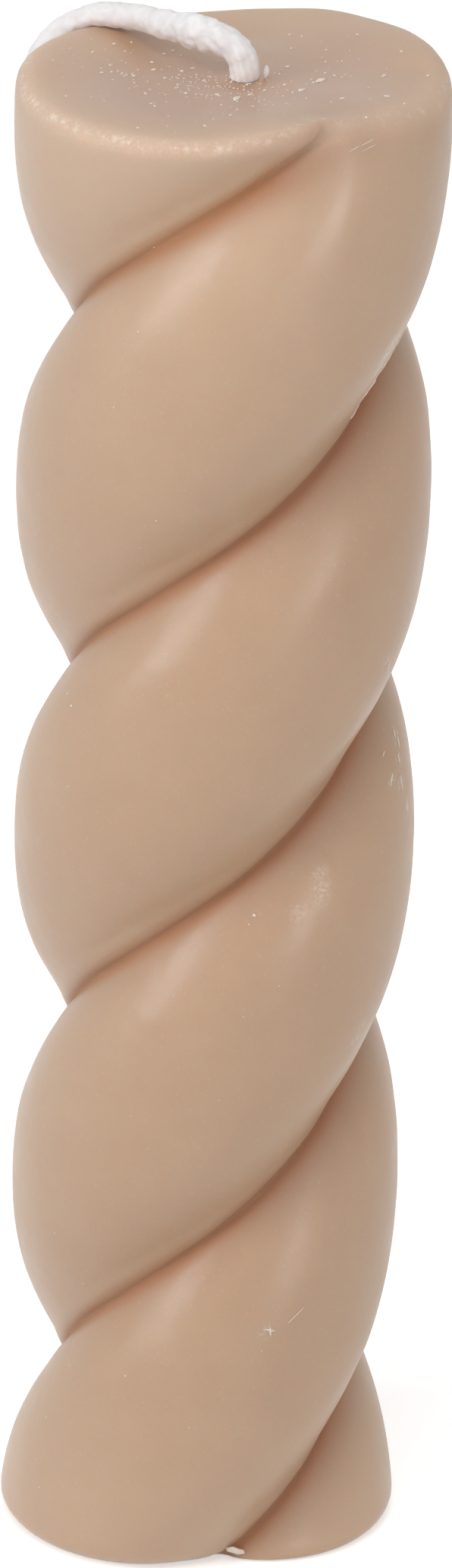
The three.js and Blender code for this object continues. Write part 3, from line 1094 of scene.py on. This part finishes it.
def candle_wax(surface):
    """Satin pale brown wax, greyer on the top face and rubbed pale along the rim and on the sides, with warm
    painted shade down in the creases and round the wick, and painted light and highlights below the rim, at the foot,
    below the notches, towards the back of the top face, along the rim and along the edges of the strands.
    """
    material, tree, shader = new_material("satin candle wax")
    base = place_group(
        tree, surface, Tone=linear(203, 172, 144), Deep_Tone=linear(196, 163, 135),
        Pale_Tone=linear(236, 220, 206), Grain_Share=0.18, Gloss=WAX_GLOSS,
    )
    place = put(tree, "ShaderNodeTexCoord").outputs["Object"]
    colour = base.outputs["Color"]
    for note, amount, tone in WAX_TINTS:
        colour = tint(tree, colour, attribute(tree, note), amount, tone)
    # Rubbed pale wax along the rim, with a painted highlight, brightest on the front left.
    near_rim = attribute(tree, "near_rim")
    patchy = cloud(tree, place, 0.3 * MM, detail=3, roughness=0.6)
    wear_and_highlight = stretch_range(tree, patchy, 0.35, 0.7, 0.24, 0.36)
    colour = tint(tree, colour, near_rim, wear_and_highlight, (242, 226, 212))
    worn_and_glinting_bits = stretch_range(tree, cloud(tree, place, 0.9 * MM, detail=4, roughness=0.7), 0.5, 0.64, 0, 0.55)
    colour = tint(tree, colour, attribute(tree, "rim_line"), worn_and_glinting_bits, (246, 236, 226))
    # Rubbed pale patches on the sides; those along the edges of the strands are a painted highlight.
    streaks = stretch_range(tree, cloud(tree, place, 0.35 * MM, detail=3, roughness=0.6), 0.42, 0.6, 0, 0.55)
    colour = tint(tree, colour, attribute(tree, "rubbed_and_highlit"), streaks, (236, 222, 210))
    feed(tree, shader.inputs["Base Color"], colour)
    rough = math_node(
        tree, "MULTIPLY_ADD", attribute(tree, "crease_core_painted_shade"), CREASE_ROUGHER, base.outputs["Roughness"]
    )
    rough = math_node(tree, "MULTIPLY_ADD", near_rim, RIM_ROUGHER, rough)
    feed(tree, shader.inputs["Roughness"], rough)
    rim_tooth = math_node(tree, "MULTIPLY", near_rim, math_node(tree, "MULTIPLY", patchy, RIM_TOOTH))
    height = math_node(tree, "ADD", base.outputs["Height"], rim_tooth)
    feed(tree, shader.inputs["Normal"], bump_by(tree, height))
    shader.inputs["IOR"].default_value = 1.43
    let_light_in(shader, WAX_SCATTERING, (1, 0.5, 0.3))
    return material


def scraped_wax(surface, name, tone, deep_tone):
    """Wax that is broken small or scraped, so that it looks pale and matt."""
    material, tree, shader = new_material(name)
    base = place_group(
        tree, surface, Tone=tone, Deep_Tone=deep_tone, Pale_Tone=linear(248, 240, 234), Grain_Share=0.5, Gloss=0.5
    )
    feed(tree, shader.inputs["Base Color"], base.outputs["Color"])
    feed(tree, shader.inputs["Roughness"], base.outputs["Roughness"])
    feed(tree, shader.inputs["Normal"], bump_by(tree, base.outputs["Height"]))
    return material


def cotton_material():
    """White cotton under a thin coat of wax, with painted shade between the strands, and creamy where it leaves the
    candle.
    """
    material, tree, shader = new_material("waxed cotton")
    place = put(tree, "ShaderNodeTexCoord").outputs["Object"]
    blotch = cloud(tree, place, 1.1 * MM, detail=3)
    fibre = cloud(tree, place, 0.16 * MM, detail=2)
    colour = blend_colours(tree, stretch_range(tree, blotch, 0.35, 0.65), linear(244, 241, 241), linear(236, 233, 233))
    colour = tint(tree, colour, attribute(tree, "painted_shade_between_strands"), 0.25, (214, 210, 210))
    colour = tint(tree, colour, attribute(tree, "at_wax"), 0.4, (232, 222, 214))
    feed(tree, shader.inputs["Base Color"], colour)
    feed(tree, shader.inputs["Roughness"], stretch_range(tree, blotch, 0.3, 0.7, 0.62, 0.82))
    feed(tree, shader.inputs["Normal"], bump_by(tree, add_up(tree, (fibre, 0.02), (blotch, 0.03))))
    let_light_in(shader, COTTON_SCATTERING, (1, 1, 1))
    return material


def dress(piece, material):
    piece.data.materials.clear()
    piece.data.materials.append(material)


# The scene

add_camera()
wick = make_wick()
wax = make_casting()
tree = BVHTree.FromObject(wax, bpy.context.evaluated_depsgraph_get())
chips = chip_shapes()
crumbs = make_crumbs(tree, chips)
sliver = make_sliver(tree, chips)
marks = make_marks(tree, chips)
flash = make_flash(tree)
for chip in chips:
    bpy.data.objects.remove(chip)
cotton = cotton_material()
surface = wax_surface()
pale_wax = scraped_wax(surface, "scraped candle wax", linear(240, 228, 216), linear(230, 212, 196))
crumbled_wax = scraped_wax(surface, "crumbled candle wax", linear(236, 222, 209), linear(224, 206, 191))
dress(wax, candle_wax(surface))
dress(crumbs, crumbled_wax)
dress(marks, pale_wax)
dress(flash, pale_wax)
dress(wick, cotton)
dress(sliver, cotton)
dress(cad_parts["wick_core"], cotton)
add_world()
add_floor()
add_softbox("left softbox", -64, 24, (0.5, 0.55), 4.8, (0.96, 1, 1.05))
add_softbox("right softbox", 34, 12, (0.18, 0.35), 2.4, (0.97, 1, 1.04))
add_softbox("front softbox", -5, 58, (0.6, 0.6), 4.4)
add_softbox("rear softbox", 170, 65, (0.6, 0.6), 2)

bpy.context.scene.view_settings.view_transform = "Standard"
